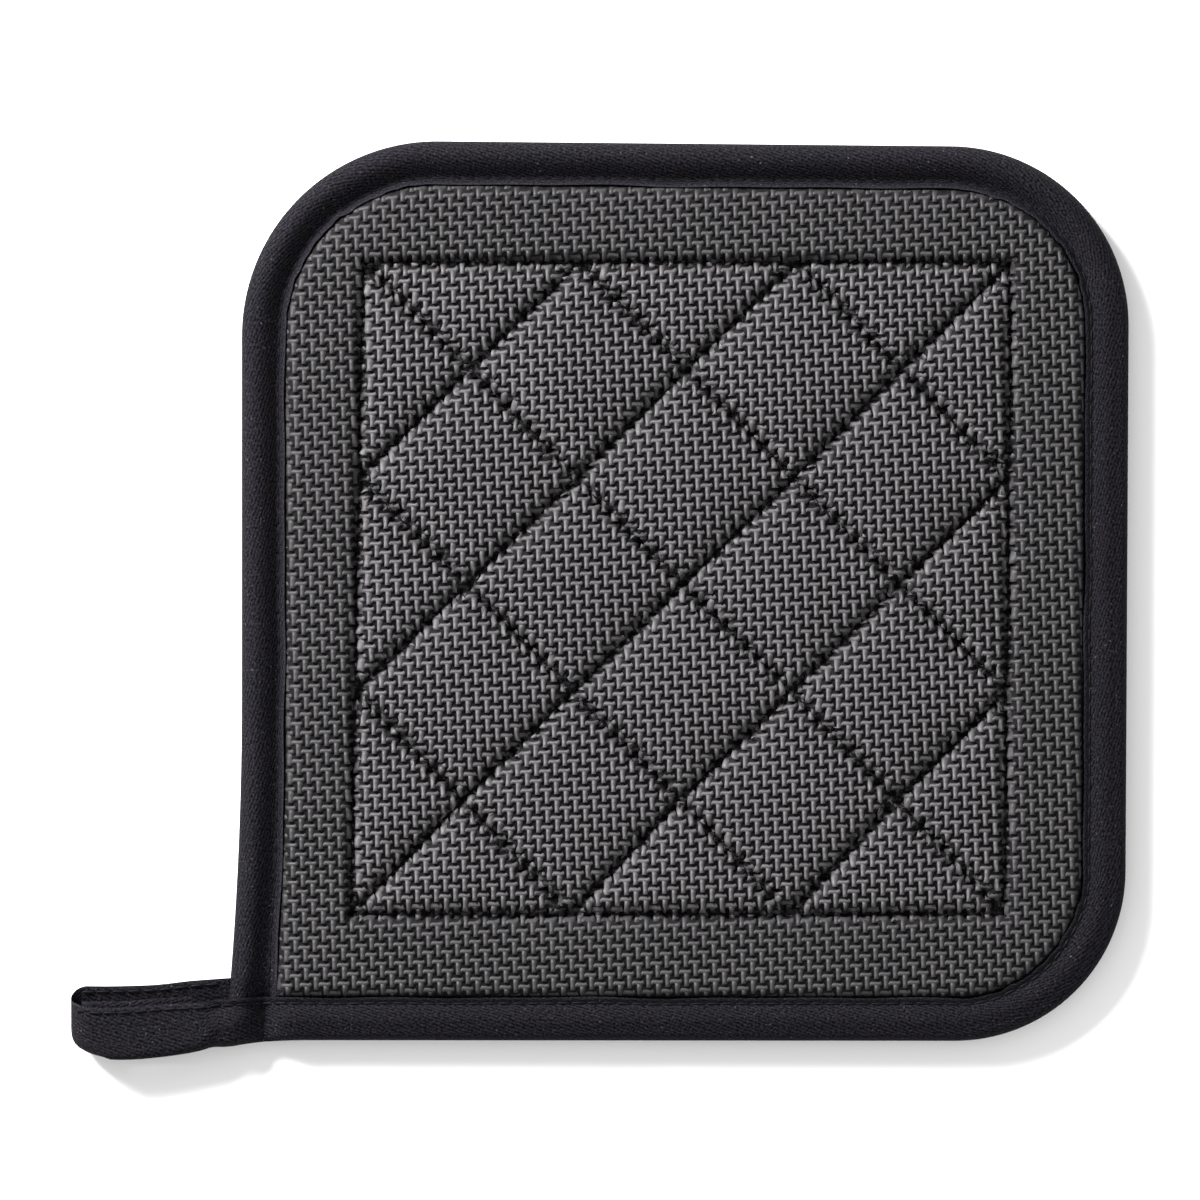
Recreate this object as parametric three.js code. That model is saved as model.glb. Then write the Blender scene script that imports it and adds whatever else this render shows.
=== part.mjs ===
// Square quilted pot holder with a taped edge and a hanging loop at its lower left corner.
// Millimetres, +Z up. It lies on its back, and the origin is under the middle of the whole outline.
import * as THREE from "three";

// Sewn edge, counter-clockwise from the square corner that carries the loop
const CORNERS = [
  { x: -77.1, y: -94.7, radius: 0 },
  { x: 112.9, y: -94.9, radius: 36.7 },
  { x: 113.97, y: 97.3, radius: 38.5 },
  { x: -77.1, y: 99.15, radius: 42 },
];

// Quilting: a sewn frame, and slanting lines through every other crossing of these columns and rows
const COLUMNS = [-52.3, -28.6, -5.5, 17.8, 41.5, 64.3, 87.6];
const ROWS = [-67.5, -42.9, -19.7, 3.5, 26.3, 49.8, 72.6];
const CELLS = COLUMNS.length - 1;
const LEAN = { left: 1.3, right: 0.7 };
const CELL = 23.3;
const HALF_GAP = CELL / Math.SQRT2;
const CHANNEL_STEPS = [0, 1.2, 3, 7];

// Each face: its level, how high its puffs swell, how far a channel's side reaches, and how deep
// the rising, the falling and the frame's lines are drawn in
const FRONT = { side: 1, level: 8.4, swell: 0.8, reach: 12, rising: 3.2, falling: 2.3, frame: 2.8 };
const BACK = { side: -1, level: 0, swell: 0, reach: 6.9, rising: 1.6, falling: 1.2, frame: 1.4 };

// From the sewn frame out to the edge that the tape grips
const RIM_ROWS = [
  { inset: 12.0, front: 8.4, back: 0.0 },
  { inset: 10.3, front: 8.2, back: 0.0 },
  { inset: 9.65, front: 7.3, back: 0.0 },
  { inset: 9.55, front: 5.3, back: 1.9 },
  { inset: 8.0, front: 5.3, back: 1.9 },
  { inset: 2.4, front: 5.2, back: 2.8 },
];

// The tape's outer face, from its front edge over the roll and round to its back edge
const TAPE_WALL = 1.2;
const TAPE_ACROSS = [
  { inset: 9.2, z: 7.3 },
  { inset: 8.0, z: 7.0 },
  { inset: 6.6, z: 8.0 },
  { inset: 4.4, z: 8.5 },
  { inset: 2.0, z: 7.7 },
  { inset: 0.4, z: 5.8 },
  { inset: 0.0, z: 4.1 },
  { inset: 0.6, z: 1.9 },
  { inset: 2.2, z: 0.3 },
  { inset: 3.6, z: 0.0 },
  { inset: 9.2, z: 0.1 },
];
const TAPE_START_X = -76.9;
const TAPE_END_Y = -85.0;
const CORNER_STEPS = 12;
const BOTTOM_STEPS = 18;
const SIDE_STEPS = 5;
const LEFT_STEPS = 8;

// Near the loop the left edge flares out, the bottom edge droops and the tape sinks in a crease
const PULL = { width: 15, innerX: -62.1, flare: 3.6, flareFrom: -21, flareTo: -85.3, droop: 1.4, droopFrom: -80 };
const CREASE = { x: -70.5, width: 3.2, depth: 1.5, fromY: -81, fullY: -88, floor: 4.4 };

// The loop is the tape folded in two, narrow leg outside. Each row is a section along it:
// where its middle is, half its thickness, the folded edge, both free edges, and how far
// the folded edge is drawn back at the loop's end
const LOOP_WALL = 1.0;
const LOOP_UPPER = [
  { x: -79.9, z: 5.6, half: 2.8, fold: -96.0, narrow: -86.4, wide: -85.2, drawn: 0 },
  { x: -84.0, z: 6.2, half: 2.3, fold: -96.8, narrow: -86.6, wide: -85.0, drawn: 0 },
  { x: -89.0, z: 7.1, half: 1.7, fold: -97.8, narrow: -87.0, wide: -85.3, drawn: 0 },
  { x: -95.0, z: 7.8, half: 1.2, fold: -98.5, narrow: -87.5, wide: -85.7, drawn: 0 },
  { x: -102.0, z: 7.9, half: 1.15, fold: -98.8, narrow: -88.0, wide: -86.2, drawn: 0.4 },
];
const LOOP_LOWER = [
  { x: -102.0, z: 1.15, half: 1.15, fold: -95.6, narrow: -84.8, wide: -83.0, drawn: 0.4 },
  { x: -95.0, z: 1.15, half: 1.15, fold: -95.4, narrow: -84.6, wide: -82.7, drawn: 0 },
  { x: -88.0, z: 1.15, half: 1.15, fold: -94.8, narrow: -83.9, wide: -81.9, drawn: 0 },
  { x: -80.3, z: 1.15, half: 1.15, fold: -94.0, narrow: -83.0, wide: -81.2, drawn: 0 },
];
const TURN = { x: -109.27, z: 4.525, radius: 3.375, half: 1.15, steps: 8 };
const TURN_EDGES = { fold: -98.8, narrow: -88.1, wide: -86.3, shift: 3.2 };
const TURN_DRAWN = { start: 3.9, middle: 8.6, power: 4, fromY: -89.8 };

const FOAM = { color: 0x454344, roughness: 0.7, metalness: 0 };
const TWILL = { color: 0x1b1a1f, roughness: 0.92, metalness: 0 };

const clamp01 = (value) => Math.min(Math.max(value, 0), 1);
const mix = THREE.MathUtils.lerp;

// Collects the facets of one closed body
class Facets {
  points = [];

  triangle(a, b, c) {
    for (const corner of [a, b, c]) this.points.push(corner.x, corner.y, corner.z);
  }

  quad(a, b, c, d) {
    this.triangle(a, b, c);
    this.triangle(a, c, d);
  }

  mesh(name, finish) {
    const geometry = new THREE.BufferGeometry();
    geometry.setAttribute("position", new THREE.Float32BufferAttribute(this.points, 3));
    geometry.computeVertexNormals();
    const mesh = new THREE.Mesh(geometry, new THREE.MeshStandardMaterial(finish));
    mesh.name = name;
    return mesh;
  }
}

// Moves a point of the plain square shape to where the pulled edge really lies
function settled(x, y, z) {
  const nearLeft = clamp01((PULL.innerX - x) / PULL.width);
  const nearBottom = clamp01((PULL.droopFrom - y) / PULL.width);
  const down = clamp01((PULL.flareFrom - Math.max(y, PULL.flareTo)) / (PULL.flareFrom - CORNERS[0].y));
  const across = Math.exp(-(((x - CREASE.x) / CREASE.width) ** 2));
  const along = clamp01((CREASE.fromY - y) / (CREASE.fromY - CREASE.fullY));
  const above = clamp01((z - CREASE.floor) / (FRONT.level - CREASE.floor));
  return new THREE.Vector3(
    x - PULL.flare * nearLeft * down ** 2,
    y - PULL.droop * nearLeft ** 2 * nearBottom,
    z - CREASE.depth * across * along * above,
  );
}

// One rounded corner of the outline moved inwards by inset, as a centre, a radius and three angles
function cornerArc(index, inset) {
  const count = CORNERS.length;
  const corner = CORNERS[index % count];
  const before = CORNERS[(index + count - 1) % count];
  const after = CORNERS[(index + 1) % count];
  const here = new THREE.Vector2(corner.x, corner.y);
  const back = new THREE.Vector2(before.x, before.y).sub(here).normalize();
  const ahead = new THREE.Vector2(after.x, after.y).sub(here).normalize();
  const halfSine = Math.sqrt((1 - back.dot(ahead)) / 2);
  const radius = Math.max(corner.radius - inset, 0);
  const bisector = back.clone().add(ahead).normalize();
  const centre = here.addScaledVector(bisector, (inset + radius) / halfSine);
  const start = Math.atan2(back.x, -back.y);
  let end = Math.atan2(-ahead.x, ahead.y);
  if (end < start) end += 2 * Math.PI;
  return { centre, radius, start, middle: (start + end) / 2, end };
}

function onArc(arc, angle) {
  return new THREE.Vector2(
    arc.centre.x + arc.radius * Math.cos(angle),
    arc.centre.y + arc.radius * Math.sin(angle),
  );
}

// A point of the inset outline, share 0 to 1 along one side from corner middle to corner middle
function rimPoint(side, share, inset) {
  const outer = [cornerArc(side, 0), cornerArc(side + 1, 0)];
  const arcs = [cornerArc(side, inset), cornerArc(side + 1, inset)];
  const straight = onArc(outer[0], outer[0].end).distanceTo(onArc(outer[1], outer[1].start));
  const first = outer[0].radius * (outer[0].end - outer[0].middle);
  const last = outer[1].radius * (outer[1].middle - outer[1].start);
  const along = share * (first + straight + last);
  if (along < first) {
    return onArc(arcs[0], mix(arcs[0].middle, arcs[0].end, along / first));
  }
  if (along > first + straight) {
    return onArc(arcs[1], mix(arcs[1].start, arcs[1].middle, (along - first - straight) / last));
  }
  const from = onArc(arcs[0], arcs[0].end);
  return from.lerp(onArc(arcs[1], arcs[1].start), (along - first) / straight);
}

// A value part-way between two entries of a short list
function between(list, place) {
  const index = THREE.MathUtils.clamp(Math.floor(place), 0, list.length - 2);
  return mix(list[index], list[index + 1], place - index);
}

// A point of the quilting, counted in columns and rows from its lower left corner
function quiltPlace(column, row) {
  const lean = mix(LEAN.left, LEAN.right, column / CELLS);
  return {
    x: between(COLUMNS, column) + lean * (2 * row / CELLS - 1),
    y: between(ROWS, row),
  };
}

// How far up its side a channel has risen at a distance from its sewn line, 0 to 1
function rise(distance, reach) {
  return 1 - (1 - Math.min(distance / reach, 1)) ** 3;
}

// Draws several channels together so that crossings are only a little deeper
function drawnIn(depths) {
  return depths.reduce((sum, depth) => sum + depth ** 4, 0) ** 0.25;
}

function lineDistance(count) {
  return Math.abs(count - 2 * Math.round(count / 2)) * HALF_GAP;
}

function quiltHeight(face, column, row) {
  const rising = rise(lineDistance(row - column), face.reach);
  const falling = rise(lineDistance(row + column), face.reach);
  const inside = Math.min(column, CELLS - column, row, CELLS - row) * CELL;
  const frame = rise(inside, face.reach);
  const depths = [face.rising * (1 - rising), face.falling * (1 - falling), face.frame * (1 - frame)];
  return face.level + face.side * (face.swell * rising * falling * frame - drawnIn(depths));
}

// The rows of points lie along the slanting lines, closer together beside each channel
function slantRows() {
  const near = CHANNEL_STEPS.map((step) => step / HALF_GAP);
  const far = near.slice(1).reverse().map((step) => 2 - step);
  const period = [...near, 1, ...far];
  const rows = [];
  for (let line = 0; line < CELLS; line += 1) rows.push(...period.map((step) => 2 * line + step));
  return [...rows, 2 * CELLS];
}

// The quilted square of one face, on a slanting grid cut off along the sewn frame
function addQuilting(facets, face) {
  const rows = slantRows();
  const tolerance = 1e-6;
  const isInside = ([column, row]) => Math.min(column, row, CELLS - column, CELLS - row) > -tolerance;
  const place = ([column, row]) => {
    const { x, y } = quiltPlace(column, row);
    return settled(x, y, quiltHeight(face, column, row));
  };
  const corner = (up, down) => [(up - down) / 2, (up + down) / 2];
  for (let i = 0; i + 1 < rows.length; i += 1) {
    for (let j = 0; j + 1 < rows.length; j += 1) {
      const low = rows[j] - CELLS;
      const high = rows[j + 1] - CELLS;
      const cell = [corner(rows[i], low), corner(rows[i + 1], low),
        corner(rows[i + 1], high), corner(rows[i], high)];
      const kept = cell.filter(isInside).map(place);
      if (kept.length < 3) continue;
      if (face.side < 0) kept.reverse();
      if (kept.length === 3) facets.triangle(...kept);
      else facets.quad(...kept);
    }
  }
}

// The points of the sewn frame with, for each, its side and its share along that side
function frameStations() {
  const shares = slantRows().filter((step) => step < CELLS - 1e-6);
  const places = [
    (step) => [step, 0],
    (step) => [CELLS, step],
    (step) => [CELLS - step, CELLS],
    (step) => [0, CELLS - step],
  ];
  return places.flatMap((placeOn, side) => shares.map((step) => {
    const [column, row] = placeOn(step);
    return { side, share: step / CELLS, column, row };
  }));
}

// The plain border of one face, from the sewn frame out to the edge inside the tape
function borderRows(face) {
  const stations = frameStations();
  const rows = CHANNEL_STEPS.map((out) => stations.map((station) => {
    const start = quiltPlace(station.column, station.row);
    const end = rimPoint(station.side, station.share, RIM_ROWS[0].inset);
    const part = out / Math.hypot(end.x - start.x, end.y - start.y);
    const edge = quiltHeight(face, station.column, station.row);
    const z = mix(edge, face.level, rise(out, face.reach));
    return settled(mix(start.x, end.x, part), mix(start.y, end.y, part), z);
  }));
  for (const rim of RIM_ROWS) {
    rows.push(stations.map((station) => {
      const point = rimPoint(station.side, station.share, rim.inset);
      return settled(point.x, point.y, face.side > 0 ? rim.front : rim.back);
    }));
  }
  return rows;
}

function quiltedPad() {
  const facets = new Facets();
  addQuilting(facets, FRONT);
  addQuilting(facets, BACK);
  const rows = [...borderRows(FRONT), ...borderRows(BACK).reverse()];
  for (let i = 0; i + 1 < rows.length; i += 1) {
    for (let k = 0; k < rows[i].length; k += 1) {
      const next = (k + 1) % rows[i].length;
      facets.quad(rows[i][k], rows[i + 1][k], rows[i + 1][next], rows[i][next]);
    }
  }
  return facets.mesh("quilted_pad", FOAM);
}

// The inner face of a tape, one wall's thickness inside each point [a, b] of its outer face
function innerFace(outer, wall) {
  return outer.map((point, index) => {
    const before = outer[Math.max(index - 1, 0)];
    const after = outer[Math.min(index + 1, outer.length - 1)];
    const along = new THREE.Vector2(after[0] - before[0], after[1] - before[1]).normalize();
    return [point[0] - along.y * wall, point[1] + along.x * wall];
  });
}

// A strip of tape with a wall, through stations that each hold a profile and a way to place it
function tapeSolid(name, stations, wall) {
  const facets = new Facets();
  const outer = stations.map(({ profile, place }) => profile.map(place));
  const inner = stations.map(({ profile, place }) => innerFace(profile, wall).map(place));
  const last = outer[0].length - 1;
  for (let i = 0; i + 1 < stations.length; i += 1) {
    for (let j = 0; j < last; j += 1) {
      facets.quad(outer[i][j], outer[i][j + 1], outer[i + 1][j + 1], outer[i + 1][j]);
      facets.quad(inner[i][j], inner[i + 1][j], inner[i + 1][j + 1], inner[i][j + 1]);
    }
    facets.quad(inner[i][0], outer[i][0], outer[i + 1][0], inner[i + 1][0]);
    facets.quad(outer[i][last], inner[i][last], inner[i + 1][last], outer[i + 1][last]);
  }
  const end = stations.length - 1;
  for (let j = 0; j < last; j += 1) {
    facets.quad(outer[0][j], inner[0][j], inner[0][j + 1], outer[0][j + 1]);
    facets.quad(outer[end][j], outer[end][j + 1], inner[end][j + 1], inner[end][j]);
  }
  return facets.mesh(name, TWILL);
}

// Points along the sewn edge, each with the direction inwards
function edgeStations() {
  const points = [];
  const addStraight = (from, to, steps, angle) => {
    for (let step = 0; step <= steps; step += 1) {
      points.push({ at: from.clone().lerp(to, step / steps), angle });
    }
  };
  const start = cornerArc(0, 0);
  const end = cornerArc(CORNERS.length, 0);
  let from = new THREE.Vector2(TAPE_START_X, start.centre.y);
  for (let index = 1; index < CORNERS.length; index += 1) {
    const arc = cornerArc(index, 0);
    addStraight(from, onArc(arc, arc.start), index === 1 ? BOTTOM_STEPS : SIDE_STEPS, arc.start);
    for (let step = 1; step < CORNER_STEPS; step += 1) {
      const angle = mix(arc.start, arc.end, step / CORNER_STEPS);
      points.push({ at: onArc(arc, angle), angle });
    }
    from = onArc(arc, arc.end);
  }
  addStraight(from, new THREE.Vector2(end.centre.x, TAPE_END_Y), LEFT_STEPS, end.start);
  return points;
}

function edgeBinding() {
  const profile = TAPE_ACROSS.map(({ inset, z }) => [inset, z]);
  const stations = edgeStations().map(({ at, angle }) => ({
    profile,
    place: ([inset, z]) => settled(at.x - Math.cos(angle) * inset, at.y - Math.sin(angle) * inset, z),
  }));
  return tapeSolid("edge_binding", stations, TAPE_WALL);
}

// Section of the folded tape, as points [y, height over its middle] from the narrow leg's free edge
function foldedProfile({ fold, narrow, wide, half }) {
  const bend = [60, 30, 0, -30, -60].map((degrees) => THREE.MathUtils.degToRad(degrees));
  return [
    [narrow, half],
    [mix(narrow, fold + half, 0.5), half],
    [fold + half, half],
    ...bend.map((angle) => [fold + half * (1 - Math.cos(angle)), half * Math.sin(angle)]),
    [fold + half, -half],
    [mix(wide, fold + half, 0.5), -half],
    [wide, -half],
  ];
}

// A section of the loop at an angle round its turn: 90 degrees faces up and 270 faces down
function loopStation(row, degrees) {
  const angle = THREE.MathUtils.degToRad(degrees);
  const place = ([y, height]) => {
    const low = clamp01((TURN_DRAWN.fromY - y) / (TURN_DRAWN.fromY - TURN_EDGES.fold));
    const back = row.drawn * low ** TURN_DRAWN.power;
    return new THREE.Vector3(row.x + back + height * Math.cos(angle), y, row.z + height * Math.sin(angle));
  };
  return { profile: foldedProfile(row), place };
}

function turnStation(degrees) {
  const angle = THREE.MathUtils.degToRad(degrees);
  const shift = TURN_EDGES.shift * ((degrees - 90) / 180) ** 2;
  const row = {
    x: TURN.x + TURN.radius * Math.cos(angle),
    z: TURN.z + TURN.radius * Math.sin(angle),
    half: TURN.half,
    fold: TURN_EDGES.fold + shift,
    narrow: TURN_EDGES.narrow + shift,
    wide: TURN_EDGES.wide + shift,
    drawn: mix(TURN_DRAWN.start, TURN_DRAWN.middle, Math.cos(angle) ** 2),
  };
  return loopStation(row, degrees);
}

function hangingLoop() {
  const stations = [...LOOP_LOWER].reverse().map((row) => loopStation(row, 270));
  for (let step = TURN.steps; step >= 0; step -= 1) {
    stations.push(turnStation(90 + 180 * step / TURN.steps));
  }
  stations.push(...[...LOOP_UPPER].reverse().map((row) => loopStation(row, 90)));
  return tapeSolid("hanging_loop", stations, LOOP_WALL);
}

const potHolder = new THREE.Group();
potHolder.add(quiltedPad(), edgeBinding(), hangingLoop());

export default potHolder;
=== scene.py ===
import math
from collections import namedtuple
from functools import lru_cache
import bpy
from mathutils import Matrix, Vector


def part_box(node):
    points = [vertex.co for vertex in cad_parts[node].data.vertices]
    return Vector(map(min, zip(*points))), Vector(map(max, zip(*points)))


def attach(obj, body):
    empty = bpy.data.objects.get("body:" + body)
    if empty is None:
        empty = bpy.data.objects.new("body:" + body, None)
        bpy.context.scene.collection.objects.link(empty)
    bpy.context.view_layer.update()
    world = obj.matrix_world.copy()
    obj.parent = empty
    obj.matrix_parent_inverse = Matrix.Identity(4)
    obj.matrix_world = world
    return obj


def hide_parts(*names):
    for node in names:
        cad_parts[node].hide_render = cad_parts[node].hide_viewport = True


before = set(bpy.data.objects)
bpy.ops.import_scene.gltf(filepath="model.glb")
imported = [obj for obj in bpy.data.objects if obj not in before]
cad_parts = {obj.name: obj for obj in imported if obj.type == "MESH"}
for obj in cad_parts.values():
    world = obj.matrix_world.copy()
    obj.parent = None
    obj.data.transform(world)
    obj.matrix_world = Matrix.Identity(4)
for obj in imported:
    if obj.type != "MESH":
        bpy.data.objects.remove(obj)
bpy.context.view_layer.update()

from types import SimpleNamespace as Row

import bmesh
import bpy
import numpy as np
from mathutils import Vector

bl_info = {
    "name": "Quilted pot holder",
    "version": (1, 0, 0),
    "blender": (4, 5, 0),
    "location": "View3D > Sidebar > Pot holder",
    "description": "Dresses a square pot holder: embossed quilted foam, thread, taped edge and loop",
    "category": "Add Mesh",
}


def table(names, *rows):
    """Rows of values, each under these names."""
    return [Row(**dict(zip(names.split(), row))) for row in rows]


MM = 0.001
PAD_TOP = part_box("quilted_pad")[1].z

# Sewn edge in millimetres, counter-clockwise from the square corner that carries the loop
CORNERS = table(
    "x y radius",
    (-77.1, -94.7, 0.0),
    (112.9, -94.9, 36.7),
    (113.97, 97.3, 38.5),
    (-77.1, 99.15, 42.0),
)

# Quilting: columns and rows of the sewn frame, with slanting lines through every other crossing
COLUMNS = [-52.3, -28.6, -5.5, 17.8, 41.5, 64.3, 87.6]
ROWS = [-67.5, -42.9, -19.7, 3.5, 26.3, 49.8, 72.6]
CELLS = len(COLUMNS) - 1
LEAN = Row(left=1.3, right=0.7)
CELL = 23.3
HALF_GAP = CELL / math.sqrt(2)

# Faces: level of the seams' banks, and how far from its line a channel's long slope reaches
FACE_LEVEL = 8.4
FRONT_REACH = 13.0
BACK_REACH = 6.9
PUFFS = np.random.default_rng(7).uniform(0.75, 1.1, (2 * CELLS + 2, 2 * CELLS + 2))
LIP_REACH = 2.5
LIP_SHARE = 0.6
NEEDLE_REACH = 1.0
NEEDLE_DEPTH = 2.0
PRESSED = 0.1
PRESS_REACH = 0.9

# Uneven sides of a seam: their width, the share of each needle hole and of the slow waves, the
# waves' turns and starts, and how much of it shows in the channel and from which distance on
RAGGED = 0.8
RAGGED_PARTS = Row(holes=0.5, waves=0.35)
RAGGED_WAVES = ((0.83, 0.0), (1.37, 2.0), (2.9, 0.7))
ROUGH = Row(share=0.8, reach=0.6)

# Plain border between the sewn frame and the tape
BORDER_PRESS = 0.8
BORDER_BULGE = 0.5
BORDER_FALL = 1.6
BORDER_WIDTH = 13.4
BORDER_BLEND = 2.0
RING_OUTS = [0, 0.4, 0.8, 1.2, 1.7, 2.3, 3.0, 3.8, 4.7, 5.7, 6.8, 8.0, 9.3, 10.6, 12.0]

# Cloth simulation of the face between its seams
SHEET_STEPS = 16
SHEET_SPARE = 0.015
SHEET_DOME = 1.2
SHEET_MASS = 0.0003
SHEET_QUALITY = 6
SHEET_STIFFNESS = 0.5
SHEET_PRESSURE = 100
SHEET_CAP = 6.0
SHEET_SEWN = 0.01
SHEET_FULL_RANK = 90
CLOTH_FRAMES = 16

# Rows of the foam from the sewn frame to the rim that the tape grips
RIM_ROWS = table(
    "inset front back press",
    (12.0, 8.1, 0.0, 0.78),
    (10.9, 7.85, 0.0, 0.7),
    (10.3, 7.5, 0.0, 0.45),
    (9.8, 7.0, 0.1, 0.15),
    (9.3, 6.2, 0.5, 0.0),
    (8.8, 5.3, 1.4),
    (8.0, 4.5, 1.9),
    (2.4, 4.4, 2.8),
)
PANEL_RIM_ROWS = 5
BACK_NORMAL = -0.05

# Outer face of the tape, as inset and height, from its front edge over the roll to its back edge
TAPE_ACROSS = [
    (9.3, 7.3), (8.9, 7.5), (8.4, 6.5), (7.9, 5.5), (7.1, 6.1), (5.9, 7.2), (4.5, 8.15), (3.1, 8.5),
    (1.8, 7.9), (0.6, 6.3), (0.0, 4.1), (0.7, 1.7), (2.2, 0.3), (3.6, 0.0), (8.0, 0.1), (9.2, 0.2),
]
GROOVE_INSET = 7.9
GROOVE_FILLED = [(4.5, 8.15), (6.0, 7.8), (7.2, 7.45), (7.9, 6.95), (8.4, 7.05), (8.9, 7.5)]
SLUMP = Row(inset=2.6, width=1.6, depth=1.1)
FRONT = Row(from_z=4.1, rise=4)
TAPE_REACH = 9.2
LIP = Row(width=1.0, wave=3.2, height=0.16)
SWAY = Row(waves=(61.0, 37.0, 23.0), seed=3, inset=0.03, height=0.12)
RIPPLE = Row(waves=(7.3, 5.1, 9.7), seed=5, inset=0.035, height=0.06, corner=0.28)
TAPE_START_X = -79.5
TAPE_END_Y = -89.5
WALL_SHARE = 0.9
# Width of a painted highlight: a paler line along both long edges of the tape, where the folded edge
# catches the light
EDGE_HIGHLIGHT_WIDTH = 0.0009

# The pull at the loop's corner: how the left side flares, sags, creases and slips under the loop
PULL = Row(inner_x=-61.0, width=9, flare=3.6, from_y=-21, to_y=-85.3)
SAG = Row(x=-62.1, y=-80, width=15, droop=1.5)
CREASE = Row(x=-71.8, left=3.2, right=1.5, depth=5.0, from_y=-81, full_y=-88, floor=3.4)
HUMP = Row(x=-79.0, width=3.4, height=1.1)
GROOVE_PULL = Row(inset=6.9, width=1.9, depth=1.5, from_y=-35, run=45)
UNDER = Row(from_y=-81.5, run=6, share=0.22)

# Sections along the loop: its middle, half its thickness, the folded edge, both free edges, and
# how far the folded edge is drawn back at the loop's end
LOOP_UPPER = table(
    "x z half fold narrow wide drawn",
    (-85.5, 6.1, 2.3, -96.8, -86.5, -85.1, 0),
    (-90.0, 6.5, 1.7, -97.7, -86.7, -85.4, 0),
    (-95.5, 7.1, 1.2, -98.4, -87.0, -85.7, 0),
    (-102.0, 7.6, 1.15, -98.8, -87.5, -86.2, 1.2),
)
LOOP_LOWER = table(
    "x z half fold narrow wide drawn",
    (-102.0, 1.15, 1.15, -95.6, -83.2, -83.0, 1.2),
    (-95.0, 1.15, 1.15, -95.4, -83.4, -82.7, 0),
    (-88.0, 1.15, 1.15, -94.8, -83.0, -81.9, 0),
    (-78.6, 1.15, 1.15, -94.0, -82.4, -81.2, 0),
)
FOLD_BEND = [math.radians(angle) for angle in (60, 30, 0, -30, -60)]
TURN = Row(x=-109.27, z=4.525, radius=3.375, half=1.15, steps=8)
TURN_EDGES = Row(fold=-98.8, wide=-86.3, step=1.3, shift=3.2, lift=0.25)
TURN_SHIFT = (150, 255)
TURN_STEP = (90, 165)
TURN_DRAWN = Row(start=4.4, middle=8.8, power=4.9, free=3.5)
LOWER_LEAN = math.radians(13)

# Seams: how high the thread lies, how much of a pitch a stitch fills, and where the tape is sewn
STITCH_LIFT = 0.2
TAPE_STITCH_LIFT = 0.1
STITCH_SHARE = 0.46
SEAM_STEPS = 20
LOOP_SEAM = 1.3
LOOP_SEAM_RUN = 8
SEAM_GAP = 11

# The raised T of the emboss, from end to end, in millimetres: its middle line, its height, half the
# width of its crest, its gentle side, which runs out over the ground, and its steep side by a slot
RIB_BAR = table(
    "x y height crest gentle steep",
    (-1.72, -0.50, 0.40, 0.20, 0.48, 0.40),
    (-0.92, 0.06, 0.46, 0.24, 0.56, 0.46),
    (-0.05, -0.08, 0.48, 0.28, 0.62, 0.62),
    (0.62, -0.02, 0.54, 0.28, 0.56, 0.72),
    (1.18, 0.26, 0.74, 0.26, 0.46, 0.52),
)
RIB_STEM = table(
    "x y height crest gentle steep",
    (0.04, -0.25, 0.54, 0.30, 1.00, 0.46),
    (0.00, -1.15, 0.70, 0.20, 0.84, 0.40),
    (0.03, -2.10, 0.86, 0.22, 0.72, 0.42),
    (0.06, -2.90, 0.98, 0.32, 0.72, 0.54),
)
RIB_ORIGIN = (12.5, 30.2)
RIB_COUNT = 61
RIB_FOOT = -0.08
RIB_TALLEST = 0.98
# Painted shade on the plain border: the ribs' colour there is darkened to this share, reached at this
# distance out from the sewn frame
BORDER_SHADE = 0.66
BORDER_SHADE_REACH = 1.5
RAY_FROM = 0.05

# Stage, in metres, except for the floor's half width in millimetres
FLOOR_REACH = 3000
FOCUS_SHARE = 0.6
LIGHTS = table(
    "name place size share",
    ("key_light", (-0.78, 0.78, 0.62), 0.45, 1.0),
    ("fill_light", (1.2, -0.6, 1.4), 1.2, 0.1),
)


# Settings that a user would change

def length(name, description, default):
    return bpy.props.FloatProperty(
        name=name, description=description, default=default, unit="LENGTH", precision=5)


def color(name, description, *default):
    return bpy.props.FloatVectorProperty(
        name=name, description=description, default=(*default, 1), subtype="COLOR", size=4)


class PadSettings(bpy.types.PropertyGroup):
    swell: length("Puff swell", "How far a puff stands over the border", PAD_TOP - 8.3 * MM)
    rising_depth: length("Rising lines", "Depth of the channels that climb to the right", 2.6 * MM)
    falling_depth: length("Falling lines", "Depth of the channels that fall to the right", 2.6 * MM)
    frame_depth: length("Frame line", "Depth of the sewn frame", 2.3 * MM)
    cells: bpy.props.IntProperty(
        name="Cells a side", description="Mesh cells along one side of the sewn frame", default=186)
    ground_color: color("Ground", "Colour between the ribs", 0.0070, 0.0064, 0.0074)
    back_color: color("Back", "Colour of the back cloth", 0.012, 0.0115, 0.0135)


class RibSettings(bpy.types.PropertyGroup):
    pitch_x: length("Pitch across", "From one rib to the next in its row", 4.08 * MM)
    pitch_y: length("Pitch up", "From a row to the next row but one", 4.01 * MM)
    tilt: bpy.props.FloatProperty(
        name="Tilt", description="Turn of the rows against the pad", default=math.radians(2.0),
        subtype="ANGLE")
    color: color("Ribs", "Colour of the raised ribs", 0.109, 0.1035, 0.108)


class ThreadSettings(bpy.types.PropertyGroup):
    pitch: length("Stitch length", "From one needle hole to the next", 3.2 * MM)
    width: length("Thread width", "Thickness of the sewing thread", 0.62 * MM)
    color: color("Thread", "Colour of the sewing thread", 0.0022, 0.0022, 0.003)


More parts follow.
